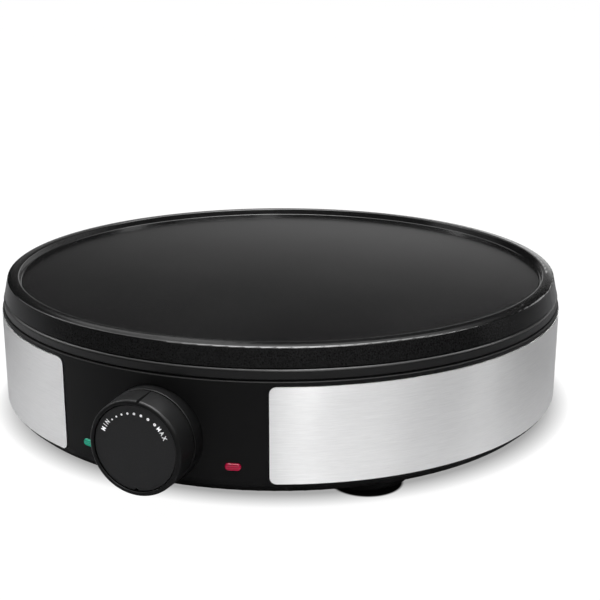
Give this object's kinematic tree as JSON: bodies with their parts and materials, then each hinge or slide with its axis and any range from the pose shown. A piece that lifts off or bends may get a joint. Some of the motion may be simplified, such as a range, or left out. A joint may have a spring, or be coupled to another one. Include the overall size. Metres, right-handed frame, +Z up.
{
  "type": "electric crepe maker",
  "caption": "Round electric crepe maker: a flat rimmed non-stick plate on a low black housing with brushed steel side panels, a turning heat dial and pilot lights.",
  "frame": {"origin": "on the surface that the feet stand on, under the middle of the whole object, dial and cord gland included; the round body is centred 7.9 mm behind it", "axes": "+Z up, -Y towards the dial and whoever cooks, +X to the right of someone who faces the dial"},
  "size_m": [0.325, 0.3482, 0.0859],
  "materials": {
    "ceramic_bead": "fired ceramic, unglazed",
    "copper_tube": "bare copper",
    "dial_plastic": "satin",
    "disc_plastic": "satin, printed",
    "foot_rubber": "matt",
    "fuse_metal": "plain can",
    "gland_plastic": "black nylon",
    "heater_sheath": "heat-tinted sheath",
    "holder_plastic": "natural nylon",
    "housing_plastic": "black moulding, fine texture",
    "lamp_glass": "clear",
    "lens_green": "clear tinted, glossy",
    "lens_red": "clear tinted, glossy",
    "plate_coating": "cast aluminium with a dark satin non-stick coating",
    "reflector_sheet": "bright sheet",
    "screw_steel": "zinc plated",
    "shaft_steel": "turned",
    "spring_steel": "bright strip",
    "steel_panel": "brushed along the panel",
    "terminal_brass": "bare brass",
    "terminal_plastic": "natural nylon",
    "thermostat_phenolic": "brown phenolic moulding",
    "trim_ring": "heat-proof moulding, fine texture",
    "wire_blue": "silicone sleeve",
    "wire_brown": "silicone sleeve",
    "wire_green": "silicone sleeve"
  },
  "bodies": {
    "base": {"base_cover": "housing_plastic", "capillary_tube": "copper_tube", "case_screws": "screw_steel", "cooking_plate": "plate_coating", "cord_clamp": "gland_plastic", "cord_clamp_screws": "screw_steel", "cord_gland": "gland_plastic", "dial_collar": "dial_plastic", "dial_scale_disc": "disc_plastic", "earth_screw": "terminal_brass", "earth_tag": "terminal_brass", "foot_front_left": "foot_rubber", "foot_front_right": "foot_rubber", "foot_rear_left": "foot_rubber", "foot_rear_right": "foot_rubber", "foot_screws": "screw_steel", "fuse_strap": "spring_steel", "heat_reflector": "reflector_sheet", "heater_insulators": "ceramic_bead", "heater_pins": "shaft_steel", "heating_element": "heater_sheath", "housing": "housing_plastic", "lamp_holder_green": "holder_plastic", "lamp_holder_red": "holder_plastic", "lens_green": "lens_green", "lens_red": "lens_red", "neon_lamp_green": "lamp_glass", "neon_lamp_red": "lamp_glass", "plate_screws": "screw_steel", "plate_spacers": "ceramic_bead", "plate_trim_ring": "trim_ring", "sensor_bulb": "copper_tube", "sensor_strap": "spring_steel", "steel_panel_left": "steel_panel", "steel_panel_right": "steel_panel", "strap_screws": "screw_steel", "terminal_block": "terminal_plastic", "terminal_block_screws": "terminal_brass", "thermal_fuse": "fuse_metal", "thermostat_body": "thermostat_phenolic", "thermostat_plate": "spring_steel", "thermostat_screws": "screw_steel", "thermostat_tabs": "terminal_brass", "wire_earth": "wire_green", "wire_fuse": "wire_brown", "wire_live": "wire_brown", "wire_neutral": "wire_blue", "wire_switched": "wire_brown"},
    "dial": {"dial_grip_ring": "dial_plastic", "dial_spring_clip": "spring_steel", "thermostat_shaft": "shaft_steel"}
  },
  "joints": [
    {"name": "dial_turn", "type": "hinge", "parent": "base", "child": "dial", "pos_m": [0, -0.16, 0.03845], "axis": [0, 1, 0], "range_deg": [-63, 51]}
  ]
}
